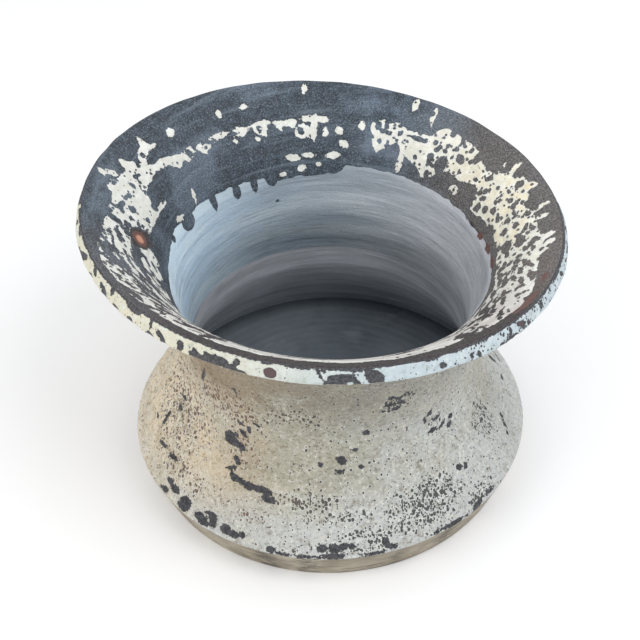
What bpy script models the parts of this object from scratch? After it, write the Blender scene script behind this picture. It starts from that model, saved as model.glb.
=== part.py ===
"""A flared, keeled terracotta vessel, thrown in sections that are luted together, standing mouth up.

Metres, +Z up. The origin is on the ground, under the middle of the foot and of the rim.
"""

import math

import bpy
from mathutils import Matrix, Vector

OBJECT_NAME = "flared_clay_vessel"

# Overall sizes
RIM_RADIUS = 0.165
RIM_HEIGHT = 0.2208
KEEL_RADIUS = 0.147
KEEL_HEIGHT = 0.0294
FOOT_RADIUS = 0.1365
WAIST_RADIUS = 0.099
WAIST_HEIGHT = 0.107
WALL = 0.0096

# The rim was never trued: it leans over to +X, more and more from the keel upwards
RIM_TILT = math.radians(5.0)

# Curves of the wall. A slope is measured from the vertical on the shoulder, from the level on the flare
SHOULDER_SLOPE = math.radians(30.3)
SHOULDER_REACH = 0.0414
SHOULDER_RISE = 0.033
FLARE_SLOPE = math.radians(25.0)
FLARE_REACH = 0.0462
FLARE_RISE = 0.0505

# Lip coil
LIP_SETBACK = 0.0045
LIP_WIDTH = 0.0125
LIP_DEPTH = 0.0111
LIP_TOP_ROUND = 0.0018
LIP_FACE_ROUND = 0.003

# Keel, foot and floor
SEAM_BELOW_KEEL = 0.0012
KEEL_ROUND = 0.001
FOOT_ROUND = 0.002
LEDGE_WIDTH = 0.008
FLOOR_HEIGHT = 0.0255
FLOOR_THICKNESS = 0.0135

# Luted seams are modelled as a thin gap
SEAM = 0.0003

TURN_STEPS = 60
CURVE_POINTS = 9
ROUND_POINTS = 3
CURVE_SAMPLES = 400
MERGE = 0.00005


def clear_scene():
    for item in list(bpy.data.objects):
        bpy.data.objects.remove(item, do_unlink=True)


def new_collection(name):
    collection = bpy.data.collections.new(name)
    bpy.context.scene.collection.children.link(collection)
    return collection


def clay_material(name, colour, roughness):
    material = bpy.data.materials.new(name)
    material.use_nodes = True
    shader = material.node_tree.nodes["Principled BSDF"]
    shader.inputs["Base Color"].default_value = (*colour, 1.0)
    shader.inputs["Roughness"].default_value = roughness
    shader.inputs["Metallic"].default_value = 0.0
    return material


def level(radius, height):
    """A point of a turned outline: its radius from the axis and its height."""
    return Vector((radius, height))


def bezier(start, start_handle, end_handle, end, t):
    s = 1.0 - t
    return s**3 * start + 3 * s * s * t * start_handle + 3 * s * t * t * end_handle + t**3 * end


def shoulder_curve(t):
    """Outer face of the shoulder, from the keel at 0 to the waist at 1."""
    keel = level(KEEL_RADIUS, KEEL_HEIGHT)
    waist = level(WAIST_RADIUS + WALL, WAIST_HEIGHT)
    along = level(-math.sin(SHOULDER_SLOPE), math.cos(SHOULDER_SLOPE))
    return bezier(keel, keel + SHOULDER_REACH * along, waist - level(0, SHOULDER_RISE), waist, t)


def flare_curve(t):
    """Inner, upper face of the mouth, from the lip's top edge at 0 to the waist at 1."""
    lip = level(RIM_RADIUS - LIP_SETBACK, RIM_HEIGHT)
    waist = level(WAIST_RADIUS, WAIST_HEIGHT)
    along = level(-math.cos(FLARE_SLOPE), -math.sin(FLARE_SLOPE))
    return bezier(lip, lip + FLARE_REACH * along, waist + level(0, FLARE_RISE), waist, t)


def beside(curve, t, distance):
    """The point beside curve(t), at that distance to the right of its direction of travel."""
    step = 1e-4
    before, after = curve(max(t - step, 0.0)), curve(min(t + step, 1.0))
    along = (after - before).normalized()
    return curve(t) + distance * level(along.y, -along.x)


def share_at_length(curve, length):
    """The curve's parameter at that length of travel from its start."""
    travelled = 0.0
    previous = curve(0.0)
    for i in range(1, CURVE_SAMPLES + 1):
        point = curve(i / CURVE_SAMPLES)
        travelled += (point - previous).length
        if travelled >= length:
            return i / CURVE_SAMPLES
        previous = point
    return 1.0


def share_at_height(curve, distance, height):
    """The parameter where the line beside the rising curve first reaches that height."""
    for i in range(CURVE_SAMPLES + 1):
        if beside(curve, i / CURVE_SAMPLES, distance).y >= height:
            return i / CURVE_SAMPLES
    return 1.0


def stretch(curve, start, end, distance=0.0):
    """Points beside a curve from one parameter to another, both ends included."""
    shares = (start + (end - start) * i / (CURVE_POINTS - 1) for i in range(CURVE_POINTS))
    return [beside(curve, t, distance) for t in shares]


def rounded(before, corner, after, radius):
    """Points of an arc that eases the corner between its two neighbours."""
    back = (before - corner).normalized()
    on = (after - corner).normalized()
    half = back.angle(on) / 2
    reach = min(radius / math.tan(half), (before - corner).length / 2, (after - corner).length / 2)
    start, end = corner + reach * back, corner + reach * on
    return [bezier(start, (start + 2 * corner) / 3, (end + 2 * corner) / 3, end, i / ROUND_POINTS)
            for i in range(ROUND_POINTS + 1)]


def foot_face(height):
    """Radius of the foot's outer face, which widens from the ground up to the keel."""
    return FOOT_RADIUS + (KEEL_RADIUS - FOOT_RADIUS) * height / KEEL_HEIGHT


def foot_inside(height):
    """Radius of the wall's inner face below the keel, a wall's thickness inside the foot's face."""
    lean = math.atan2(KEEL_RADIUS - FOOT_RADIUS, KEEL_HEIGHT)
    return foot_face(height) - WALL / math.cos(lean)


def wall_inside(height):
    """Radius of the wall's inner face at any height, on the foot ring or on the shoulder above it."""
    if height <= KEEL_HEIGHT - SEAM_BELOW_KEEL:
        return foot_inside(height)
    return beside(shoulder_curve, share_at_height(shoulder_curve, -WALL, height), -WALL).x


def lean_over(mesh):
    """Tips each level of the wall about its own middle, from nothing at the keel to RIM_TILT at the rim."""
    for vertex in mesh.vertices:
        x, y, z = vertex.co
        share = max(z - KEEL_HEIGHT, 0.0) / (RIM_HEIGHT - KEEL_HEIGHT)
        turned = Matrix.Rotation(RIM_TILT * share**2, 3, "Y") @ Vector((x, y, 0.0))
        vertex.co = turned + Vector((0.0, 0.0, z))


def turned_piece(name, outline, closed, material, collection, leans=True):
    """Turns an outline about the vessel's axis. The outline runs down its outer side."""
    mesh = bpy.data.meshes.new(name + "_outline")
    count = len(outline)
    edges = [(i, i + 1) for i in range(count - 1)]
    if closed:
        edges.append((count - 1, 0))
    mesh.from_pydata([(p.x, 0.0, p.y) for p in outline], edges, [])
    piece = bpy.data.objects.new(name, mesh)
    collection.objects.link(piece)

    screw = piece.modifiers.new("turn", "SCREW")
    screw.axis = "Z"
    screw.angle = math.tau
    screw.steps = TURN_STEPS
    screw.render_steps = TURN_STEPS
    screw.use_merge_vertices = True
    screw.merge_threshold = MERGE
    screw.use_smooth_shade = True

    graph = bpy.context.evaluated_depsgraph_get()
    turned = bpy.data.meshes.new_from_object(piece.evaluated_get(graph))
    turned.name = name
    piece.modifiers.clear()
    piece.data = turned
    bpy.data.meshes.remove(mesh)
    if leans:
        lean_over(turned)
    turned.shade_smooth()
    turned.set_sharp_from_angle(angle=math.radians(40))
    turned.materials.clear()
    turned.materials.append(material)
    return piece


def make_floor_slab(collection):
    """The thick disc that closes the bottom, dropped on to the foot ring's ledge."""
    top, bottom = FLOOR_HEIGHT, FLOOR_HEIGHT - FLOOR_THICKNESS
    seam = KEEL_HEIGHT - SEAM_BELOW_KEEL
    edge = [top, seam, bottom] if bottom < seam < top else [top, bottom]
    outline = [level(0.0, top)]
    outline += [level(wall_inside(height) - SEAM, height) for height in edge]
    outline += [level(0.0, bottom)]
    clay = clay_material("grey_floor_clay", (0.105, 0.125, 0.14), 0.85)
    return turned_piece("floor_slab", outline, False, clay, collection, leans=False)


def make_foot_ring(collection):
    """The ring that the vessel stands on, up to the seam under the keel, with an inner ledge for the floor."""
    seam = KEEL_HEIGHT - SEAM_BELOW_KEEL - SEAM
    ledge = FLOOR_HEIGHT - FLOOR_THICKNESS - SEAM
    inner = foot_inside(ledge) - LEDGE_WIDTH
    heel = level(FOOT_RADIUS, 0.0)
    top = level(foot_face(seam), seam)
    toe = level(inner, 0.0)
    outline = [top]
    outline += rounded(top, heel, toe, FOOT_ROUND)
    outline += rounded(heel, toe, level(inner, ledge), FOOT_ROUND)
    outline += [level(inner, ledge), level(foot_inside(ledge), ledge), level(foot_inside(seam), seam)]
    clay = clay_material("bare_tan_clay", (0.42, 0.33, 0.25), 0.8)
    return turned_piece("foot_ring", outline, True, clay, collection, leans=False)


def make_shoulder_wall(collection):
    """The wall from the keel's sharp arris in to the waist."""
    seam = KEEL_HEIGHT - SEAM_BELOW_KEEL
    foot = level(foot_face(seam), seam)
    arris = level(KEEL_RADIUS, KEEL_HEIGHT)
    outer = list(reversed(stretch(shoulder_curve, 0.0, 1.0)))[:-1]
    inner_start = share_at_height(shoulder_curve, -WALL, seam + KEEL_ROUND)
    inner = stretch(shoulder_curve, inner_start, 1.0, -WALL)
    outline = outer + rounded(outer[-1], arris, foot, KEEL_ROUND)
    outline += [foot, level(foot_inside(seam), seam)] + inner
    clay = clay_material("painted_shoulder_clay", (0.62, 0.57, 0.47), 0.75)
    return turned_piece("shoulder_wall", outline, True, clay, collection)


def lip_share(extra=0.0):
    """Where the lip coil ends on the flare's curve."""
    return share_at_length(flare_curve, LIP_WIDTH + extra)


def make_flared_mouth(collection):
    """The trumpet from the waist out to the seam of the lip coil."""
    start = lip_share(SEAM)
    waist_share = 1.0 - SEAM / (RIM_HEIGHT - WAIST_HEIGHT)
    under = stretch(flare_curve, start, waist_share, -WALL)
    upper = list(reversed(stretch(flare_curve, start, waist_share)))
    clay = clay_material("charcoal_mouth_clay", (0.12, 0.125, 0.13), 0.7)
    return turned_piece("flared_mouth", under + upper, True, clay, collection)


def make_lip_coil(collection):
    """The coil laid round the sheared edge of the mouth and worked to a band."""
    end = lip_share()
    edge = flare_curve(0.0)
    widest = level(RIM_RADIUS, RIM_HEIGHT - LIP_DEPTH)
    tail_top, tail_under = flare_curve(end), beside(flare_curve, end, -WALL)
    outline = rounded(tail_top, edge, widest, LIP_TOP_ROUND)
    outline += rounded(edge, widest, tail_under, LIP_FACE_ROUND)
    outline += [tail_under, tail_top]
    clay = clay_material("painted_lip_clay", (0.66, 0.68, 0.62), 0.7)
    return turned_piece("lip_coil", outline, True, clay, collection)


def main():
    clear_scene()
    collection = new_collection(OBJECT_NAME)
    make_floor_slab(collection)
    make_foot_ring(collection)
    make_shoulder_wall(collection)
    make_flared_mouth(collection)
    make_lip_coil(collection)


main()
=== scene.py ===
import math
import random

import bmesh
import bpy
import numpy as np
from mathutils import Matrix, Vector, noise


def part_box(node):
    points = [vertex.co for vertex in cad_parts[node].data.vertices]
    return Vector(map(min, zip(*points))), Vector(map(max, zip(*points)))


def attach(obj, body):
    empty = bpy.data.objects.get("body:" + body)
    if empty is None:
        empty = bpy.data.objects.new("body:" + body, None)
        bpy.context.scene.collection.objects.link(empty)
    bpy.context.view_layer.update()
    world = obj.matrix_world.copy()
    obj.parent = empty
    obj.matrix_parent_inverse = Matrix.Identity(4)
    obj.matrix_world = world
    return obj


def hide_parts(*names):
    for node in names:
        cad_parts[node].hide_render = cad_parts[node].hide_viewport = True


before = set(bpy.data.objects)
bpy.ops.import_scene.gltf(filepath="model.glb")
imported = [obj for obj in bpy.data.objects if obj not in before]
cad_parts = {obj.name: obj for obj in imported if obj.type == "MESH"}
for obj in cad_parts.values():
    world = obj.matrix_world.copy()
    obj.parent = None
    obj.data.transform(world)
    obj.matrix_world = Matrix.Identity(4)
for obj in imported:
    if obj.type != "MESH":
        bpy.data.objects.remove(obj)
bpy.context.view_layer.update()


# Floor slab
# A thick disc of coarse terracotta, thrown flat on the wheel, so its top is ridged in rings.
# It was dropped on to the foot ring's ledge and washed blue-grey with the rest of the inside.

MM = 0.001
slab_low, slab_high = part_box("floor_slab")
SLAB_EDGE_ROUND = 0.0022
SLAB_EDGE_LEAN = 0.0004
SLAB_UNDERCUT = 0.005
SLAB_STEPS = 300
SLAB_RING_RELIEF = 0.00015
SLAB_RING_PITCH = 0.0075
SLAB_CREVICE_MM = (118.0, 130.0)
SLAB_STILL_MIDDLE_MM = 4.0
INSIDE, PAINTED, BARE = 0, 1, 2
# How much of the brighter blue wash the floor takes, and how darkly it is painted with shade and dirt
FLOOR_COOL, FLOOR_DIRT = 0.3, 0.8
SAME_PLACE = 1e-6
SAME_LEVEL = 1e-5
SHARP_ANGLE = math.radians(55)
MEAN_RADIUS_MM = 100.0
NOISE_GAIN = 1.6
MIX_AMOUNT, MIX_BELOW, MIX_ABOVE, MIX_RESULT = 0, 6, 7, 2


def evenly(points, spacing):
    """The same outline with points at an even spacing along it, and each one's travel from the start."""
    points = [Vector(p) for p in points]
    travel = [0.0]
    for a, b in zip(points, points[1:]):
        travel.append(travel[-1] + (b - a).length)
    count = max(2, round(travel[-1] / spacing) + 1)
    wanted = np.linspace(0.0, travel[-1], count)
    radii = np.interp(wanted, travel, [p.x for p in points])
    heights = np.interp(wanted, travel, [p.y for p in points])
    return list(zip(radii, heights)), wanted


def turned(name, stretches, steps):
    """Turns stretches of outline about the vessel's axis. Each is (finish, spacing, points), and together
    they close the piece. Every vertex keeps its finish and its travel along its own stretch."""
    shape = bmesh.new()
    travel_layer = shape.verts.layers.float.new("travel")
    finish_layer = shape.verts.layers.int.new("finish")
    outline = []
    for finish, spacing, points in stretches:
        places, travels = evenly(points, spacing)
        for (radius, height), travel in zip(places, travels):
            if outline and (outline[-1].co - Vector((radius, 0, height))).length < SAME_PLACE:
                if outline[-1][finish_layer] != BARE:
                    continue
                vertex = outline.pop()
            else:
                vertex = shape.verts.new((radius, 0.0, height))
            vertex[travel_layer] = travel
            vertex[finish_layer] = finish
            outline.append(vertex)
    on_axis = [v for v in (outline[0], outline[-1]) if abs(v.co.x) < SAME_PLACE]
    if not on_axis and (outline[0].co - outline[-1].co).length < SAME_PLACE:
        shape.verts.remove(outline.pop())
    edges = [shape.edges.new(pair) for pair in zip(outline, outline[1:])]
    if not on_axis:
        edges.append(shape.edges.new((outline[-1], outline[0])))
    bmesh.ops.spin(shape, geom=outline + edges, cent=(0, 0, 0), axis=(0, 0, 1), dvec=(0, 0, 0),
                   angle=math.tau, steps=steps, use_merge=True, use_duplicate=False)
    bmesh.ops.remove_doubles(shape, verts=shape.verts, dist=SAME_PLACE)
    bmesh.ops.recalc_face_normals(shape, faces=shape.faces)
    mesh = bpy.data.meshes.new(name)
    shape.to_mesh(mesh)
    shape.free()
    mesh.shade_smooth()
    mesh.set_sharp_from_angle(angle=SHARP_ANGLE)
    piece = bpy.data.objects.new(name, mesh)
    bpy.context.scene.collection.objects.link(piece)
    return piece


def vertex_values(mesh, name, kind=float):
    values = np.zeros(len(mesh.vertices), np.float32 if kind is float else np.int32)
    mesh.attributes[name].data.foreach_get("value", values)
    return values


def keep_values(mesh, **fields):
    """Stores numbers for the materials to read, one a vertex in each field or the same for all."""
    for name, values in fields.items():
        attribute = mesh.attributes.get(name) or mesh.attributes.new(name, "FLOAT", "POINT")
        attribute.data.foreach_set("value", np.zeros(len(mesh.vertices), np.float32) + np.float32(values))


def places(mesh):
    """Azimuth in degrees, radius in millimetres and height in metres of every vertex."""
    co = np.zeros(len(mesh.vertices) * 3, np.float32)
    mesh.vertices.foreach_get("co", co)
    x, y, z = co.reshape(-1, 3).T.astype(float)
    return np.degrees(np.arctan2(y, x)) % 360.0, np.hypot(x, y) / MM, z


def swell(mesh, amounts):
    """Moves every vertex out along its normal by its own amount in metres."""
    co = np.zeros(len(mesh.vertices) * 3, np.float32)
    normals = np.zeros(len(mesh.vertices) * 3, np.float32)
    mesh.vertices.foreach_get("co", co)
    mesh.vertex_normals.foreach_get("vector", normals)
    moved = co.reshape(-1, 3) + normals.reshape(-1, 3) * np.asarray(amounts, np.float32)[:, None]
    mesh.vertices.foreach_set("co", moved.ravel())
    mesh.update()


def ramp(values, start, end):
    """0 up to start, 1 from end on."""
    return np.clip((values - start) / (end - start), 0.0, 1.0)


def wander(azimuth, along, scale, seed, stretch=1.0):
    """Smooth noise from -1 to 1 on the wall. along is in millimetres, scale is a lump's size in
    millimetres, and stretch draws the lumps out round the vessel."""
    turn = np.radians(azimuth)
    across = MEAN_RADIUS_MM / (scale * stretch)
    xs, ys, zs = np.cos(turn) * across, np.sin(turn) * across, along / scale + seed
    return np.array([noise.noise((x, y, z)) for x, y, z in zip(xs, ys, zs)]) * NOISE_GAIN


def feed(tree, socket, value):
    """Gives an input socket a value, or the output socket that feeds it."""
    if isinstance(value, bpy.types.NodeSocket):
        tree.links.new(value, socket)
    else:
        socket.default_value = value


def add(tree, kind, inputs=None, **settings):
    """Adds a shader node. Inputs are values or the sockets that feed them."""
    made = tree.nodes.new("ShaderNode" + kind)
    for name, value in settings.items():
        setattr(made, name, value)
    for name, value in (inputs or {}).items():
        feed(tree, made.inputs[name], value)
    return made


def field(tree, name):
    """Reads what keep_values stored."""
    return add(tree, "Attribute", attribute_name=name).outputs["Fac"]


def colour(*levels):
    """A colour from its red, green and blue as a screen shows them, 0 to 255."""
    parts = [level / 255 for level in levels]
    return tuple(c / 12.92 if c <= 0.04045 else ((c + 0.055) / 1.055) ** 2.4 for c in parts) + (1.0,)


def blend(tree, amount, below, above, mode="MIX"):
    """One colour over another by a mask."""
    inputs = {MIX_AMOUNT: amount, MIX_BELOW: below, MIX_ABOVE: above}
    return add(tree, "Mix", inputs, data_type="RGBA", blend_type=mode).outputs[MIX_RESULT]


def maths(tree, operation, a, b=0.0, clamp=False):
    return add(tree, "Math", {0: a, 1: b}, operation=operation, use_clamp=clamp).outputs[0]


def object_noise(tree, scale, detail=4.0, roughness=0.55, squash=1.0):
    """Noise on the piece's own coordinates. squash flattens it, so that it runs level round the vessel."""
    where = add(tree, "TexCoord").outputs["Object"]
    placed = add(tree, "Mapping", {"Vector": where, "Scale": (1.0, 1.0, squash)}).outputs[0]
    return add(tree, "TexNoise", {"Vector": placed, "Scale": scale, "Detail": detail,
                                  "Roughness": roughness}).outputs["Fac"]


def step_up(tree, value, low, high):
    """0 at low, 1 at high, smooth between. High may be the smaller."""
    made = add(tree, "MapRange", {"Value": value, "From Min": low, "From Max": high},
               interpolation_type="SMOOTHSTEP")
    return made.outputs["Result"]


def shades(tree, value, low, high, first, second):
    """The first colour where a value is at low, the second where it is at high."""
    return blend(tree, step_up(tree, value, low, high), colour(*first), colour(*second))


def lay(tree, base, layers):
    """Lays thin colours over a base, one after another. Each is (value, where it starts, where it is full,
    how much of it covers there, colour)."""
    for value, low, high, share, over in layers:
        amount = maths(tree, "MULTIPLY", step_up(tree, value, low, high), share)
        base = blend(tree, amount, base, colour(*over))
    return base


def new_material(name):
    material = bpy.data.materials.new(name)
    material.use_nodes = True
    tree = material.node_tree
    return material, tree, tree.nodes["Principled BSDF"]


def finish_material(tree, shader, base, roughness, heights):
    """Feeds the shader. heights are (height socket, depth in metres) bumps, one on the other."""
    feed(tree, shader.inputs["Base Color"], base)
    feed(tree, shader.inputs["Roughness"], roughness)
    inputs = {"Strength": 1.0}
    for height, depth in heights:
        inputs.update(Height=height, Distance=depth)
        inputs["Normal"] = add(tree, "Bump", inputs).outputs[0]
    feed(tree, shader.inputs["Normal"], inputs["Normal"])


def wash_colour(tree):
    """The blue-grey wash's colour, with painted light and shade in it, and the brush lines that ridge it."""
    bands = object_noise(tree, 7.0, 5.0, 0.6, 9.0)
    strokes = object_noise(tree, 16.0, 7.0, 0.68, 24.0)
    hairs = object_noise(tree, 26.0, 4.0, 0.7, 40.0)
    clouds = object_noise(tree, 16.0, 4.0)
    warm = shades(tree, bands, 0.32, 0.68, (160, 162, 166), (206, 208, 213))
    blue = shades(tree, bands, 0.32, 0.68, (196, 221, 242), (226, 245, 255))
    # Partly painted light: the blue shades are also the brighter ones, and the stored field puts them mostly
    # on the inside's left, the wall that faces the light.
    base = lay(tree, blend(tree, field(tree, "cool"), warm, blue), (
        (strokes, 0.52, 0.68, 0.5, (132, 141, 148)),
        (hairs, 0.56, 0.7, 0.5, (222, 230, 236)),
        (clouds, 0.5, 0.72, 0.3, (138, 142, 146)),
    ))
    # Painted shade and dirt: the wash is multiplied darker where the stored field says, deep inside, in
    # hollows and round the back of the throat.
    base = blend(tree, field(tree, "dirt"), base, colour(96, 101, 102), "MULTIPLY")
    return base, strokes, hairs


def make_grey_wash():
    """The thin blue-grey wash of the inside, brushed on round the pot, over rough clay."""
    material, tree, shader = new_material("grey_wash")
    base, strokes, hairs = wash_colour(tree)
    grain = object_noise(tree, 900.0, 3.0, 0.7)
    finish_material(tree, shader, base, 0.82, [(strokes, 0.0006), (hairs, 0.0003), (grain, 0.0002)])
    return material


def make_bare_clay():
    """Unpainted terracotta, as it shows underneath."""
    material, tree, shader = new_material("bare_terracotta")
    blotches = object_noise(tree, 35.0, 5.0)
    grain = object_noise(tree, 700.0, 4.0, 0.7)
    base = shades(tree, blotches, 0.3, 0.7, (150, 98, 74), (176, 128, 100))
    base = lay(tree, base, [(grain, 0.62, 0.75, 1.0, (194, 170, 148))])
    finish_material(tree, shader, base, 0.9, [(blotches, 0.0006), (grain, 0.0003)])
    return material


GREY_WASH = make_grey_wash()
BARE_CLAY = make_bare_clay()


def finish_faces(piece, materials):
    """Gives each face the material of its finish."""
    for material in materials:
        piece.data.materials.append(material)
    finishes = vertex_values(piece.data, "finish", int)
    corners = np.zeros(len(piece.data.loops), np.int32)
    piece.data.loops.foreach_get("vertex_index", corners)
    for face in piece.data.polygons:
        start = face.loop_start
        face.material_index = int(finishes[corners[start:start + face.loop_total]].min())


slab_underside = (slab_high.x - SLAB_UNDERCUT, slab_low.z)
floor_slab = turned("floor_disc", [
    (INSIDE, 0.0016, [(0.0, slab_high.z), (slab_high.x - SLAB_EDGE_ROUND, slab_high.z)]),
    (BARE, 0.0016, [(slab_high.x - SLAB_EDGE_LEAN, slab_high.z - SLAB_EDGE_ROUND), slab_underside]),
    (BARE, 0.006, [slab_underside, (0.0, slab_low.z)]),
], SLAB_STEPS)
azimuth, radius, height = places(floor_slab.data)
rings = np.sin(radius * MM * math.tau / SLAB_RING_PITCH + np.radians(azimuth))
rings += 0.8 * wander(azimuth * 0.0, radius, 5.0, 3.0)
top_face = (height > slab_high.z - SAME_LEVEL) & (radius > SLAB_STILL_MIDDLE_MM)
swell(floor_slab.data, np.where(top_face, rings * SLAB_RING_RELIEF, 0.0))
# Painted shade: the floor is darkened all over, deep in the pot, and more in the crevice at its edge.
keep_values(floor_slab.data, cool=FLOOR_COOL, dirt=FLOOR_DIRT + 0.18 * ramp(radius, *SLAB_CREVICE_MM))
finish_faces(floor_slab, [GREY_WASH, GREY_WASH, BARE_CLAY])
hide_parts("floor_slab")
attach(floor_slab, "root")


# Foot ring
# The low ring that the vessel stands on, turned with a plain, slightly widening face up to the keel.
# Its pale paint was scoured back to a smooth tan slip by dragging it over hard ground.

_, ring_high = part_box("foot_ring")
FOOT_RADIUS = 0.1365
KEEL_RADIUS = 0.147
KEEL_HEIGHT = 0.0294
WALL = 0.0096
WALL_LEAN = 0.0006
LEDGE_INNER_RADIUS = 0.1225
LEDGE_HEIGHT = 0.0117
LEDGE_ROUND = 0.002
HEEL_ROUND = 0.0022
HEEL_WIDTH = 0.003
RING_STEPS = 420
SEAM_CLOSED = 0.0002
# How dark the foot is in a band just under the keel, and the millimetres up where the band starts and is
# full
KEEL_SMEAR, KEEL_SMEAR_MM = 0.46, (26.0, 29.0)
seam_height = ring_high.z + SEAM_CLOSED

# Dark smears on the foot: degrees round, spread in degrees, and how dark
FOOT_SMEARS = (
    (250, 4, 0.75), (262, 5, 0.6), (288, 3, 0.5), (303, 4, 0.5), (322, 7, 0.45), (232, 3, 0.45),
    (216, 4, 0.4), (40, 8, 0.5), (96, 5, 0.6), (150, 7, 0.5),
)


def arc_points(before, corner, after, radius, count=5):
    """Points of an arc that eases a corner."""
    before, corner, after = Vector(before), Vector(corner), Vector(after)
    back, on = (before - corner).normalized(), (after - corner).normalized()
    reach = radius / math.tan(back.angle(on) / 2)
    start, end = corner + reach * back, corner + reach * on
    return [(1 - t) ** 2 * start + 2 * t * (1 - t) * corner + t * t * end
            for t in (i / (count - 1) for i in range(count))]


def foot_face(height):
    """Radius of the foot's outer face."""
    return FOOT_RADIUS + (KEEL_RADIUS - FOOT_RADIUS) * height / KEEL_HEIGHT


def foot_inside(height):
    """Radius of its inner face. The lean makes the wall a little thicker when it is measured level."""
    return foot_face(height) - WALL - WALL_LEAN


def apart(azimuth, degrees):
    """How far round the vessel each point is from a place, from -180 to 180 degrees."""
    return (azimuth - degrees + 180.0) % 360.0 - 180.0


def bell(azimuth, degrees, spread):
    """1 at one place round the vessel, fading away to both sides."""
    return np.exp(-(apart(azimuth, degrees) / spread) ** 2)


def make_tan_slip():
    """Smooth tan slip, scratched level with the ground, smeared with dirt, and darker in a band just under
    the keel.
    """
    material, tree, shader = new_material("scoured_tan_slip")
    scratches = object_noise(tree, 22.0, 7.0, 0.66, 16.0)
    drags = object_noise(tree, 90.0, 5.0, 0.65, 7.0)
    clouds = object_noise(tree, 30.0, 4.0)
    grain = object_noise(tree, 800.0, 3.0, 0.7)
    ragged = maths(tree, "MULTIPLY", maths(tree, "SUBTRACT", drags, 0.5), 2.6)
    smears = maths(tree, "ADD", field(tree, "wear"), ragged)
    base = lay(tree, shades(tree, clouds, 0.35, 0.68, (130, 121, 104), (172, 163, 145)), (
        (scratches, 0.5, 0.64, 0.72, (78, 66, 56)),
        (drags, 0.54, 0.7, 0.6, (190, 184, 170)),
        (smears, 0.5, 0.62, 0.75, (66, 58, 54)),
    ))
    finish_material(tree, shader, base, 0.72, [(scratches, 0.0007), (drags, 0.0003), (grain, 0.00015)])
    return material


ledge_end = (foot_inside(LEDGE_HEIGHT), LEDGE_HEIGHT)
ring_top_inside = (foot_inside(ring_high.z), seam_height)
ring_top_outside = (foot_face(ring_high.z), seam_height)
up_face = (foot_face(LEDGE_HEIGHT), LEDGE_HEIGHT)
foot_ring = turned("foot_band", [
    (PAINTED, 0.0011, [ring_top_outside, (foot_face(HEEL_ROUND), HEEL_ROUND)]),
    (PAINTED, 0.0008, arc_points(up_face, (FOOT_RADIUS, 0), (LEDGE_INNER_RADIUS, 0), HEEL_ROUND)),
    (BARE, 0.003, [(FOOT_RADIUS - HEEL_WIDTH, 0.0), (LEDGE_INNER_RADIUS + LEDGE_ROUND, 0.0)]),
    (BARE, 0.003, [(LEDGE_INNER_RADIUS, LEDGE_ROUND), (LEDGE_INNER_RADIUS, LEDGE_HEIGHT)]),
    (BARE, 0.003, [(LEDGE_INNER_RADIUS, LEDGE_HEIGHT), ledge_end]),
    (INSIDE, 0.0015, [ledge_end, ring_top_inside]),
    (BARE, 0.004, [ring_top_inside, ring_top_outside]),
], RING_STEPS)
azimuth, _, height = places(foot_ring.data)
# The foot darkens in a band just under the keel, and in dark smears at places round it.
wear = KEEL_SMEAR * ramp(height / MM, *KEEL_SMEAR_MM)
for degrees, spread, strength in FOOT_SMEARS:
    wear = np.maximum(wear, strength * bell(azimuth, degrees, spread))
# Painted shade: the foot ring's inside faces are darkened as much as the floor.
keep_values(foot_ring.data, cool=FLOOR_COOL, dirt=FLOOR_DIRT, wear=wear)
finish_faces(foot_ring, [GREY_WASH, make_tan_slip(), BARE_CLAY])
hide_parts("foot_ring")
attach(foot_ring, "root")


# Shoulder wall
# The wall thrown separately and luted on at the keel, drawn in from the keel's sharp arris to the waist.
# Outside it has a dark coat under weathered cream paint, with pits and chips down to the dark coat.

WAIST_RADIUS = 0.099
WAIST_HEIGHT = 0.107
RIM_HEIGHT = 0.2208
RIM_TILT = math.radians(5.0)
SHOULDER_SLOPE = math.radians(30.3)
SHOULDER_REACH = 0.0414
SHOULDER_RISE = 0.033
SHOULDER_STEPS = 520
CURVE_NUDGE = 1e-4
FAR_OUTSIDE = -20.0
MARK_MARGIN = 10.0
SEAM_EASE = 5.0
LEAST_PITTING = 0.36
CREASE_MM = (84.0, 107.0)
BACK_TURN = 167.0


def bezier(start, start_handle, end_handle, end, t):
    """A point on a curve, from 0 at its start to 1 at its end."""
    s = 1.0 - t
    return s**3 * start + 3 * s * s * t * start_handle + 3 * s * t * t * end_handle + t**3 * end


def shoulder_curve(t):
    """The wall's outer line, from 0 at the keel to 1 at the waist."""
    keel, waist = Vector((KEEL_RADIUS, KEEL_HEIGHT)), Vector((WAIST_RADIUS + WALL, WAIST_HEIGHT))
    along = Vector((-math.sin(SHOULDER_SLOPE), math.cos(SHOULDER_SLOPE)))
    return bezier(keel, keel + SHOULDER_REACH * along, waist - Vector((0, SHOULDER_RISE)), waist, t)


def beside(curve, t, distance):
    """The point at a distance to the right of a curve's own point."""
    before, after = curve(max(t - CURVE_NUDGE, 0.0)), curve(min(t + CURVE_NUDGE, 1.0))
    along = (after - before).normalized()
    return curve(t) + distance * Vector((along.y, -along.x))


def line_beside(curve, start, end, distance=0.0, count=160):
    """Points at a distance to the right of a curve as it runs from start to end."""
    return [beside(curve, start + (end - start) * i / (count - 1), distance) for i in range(count)]


def lean_over(mesh):
    """Tips each level of the wall about its own middle, more and more from the keel up to the rim."""
    for vertex in mesh.vertices:
        x, y, z = vertex.co
        share = max(z - KEEL_HEIGHT, 0.0) / (RIM_HEIGHT - KEEL_HEIGHT)
        vertex.co = Matrix.Rotation(RIM_TILT * share**2, 3, "Y") @ Vector((x, y, 0.0)) + Vector((0, 0, z))
    mesh.update()


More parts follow.
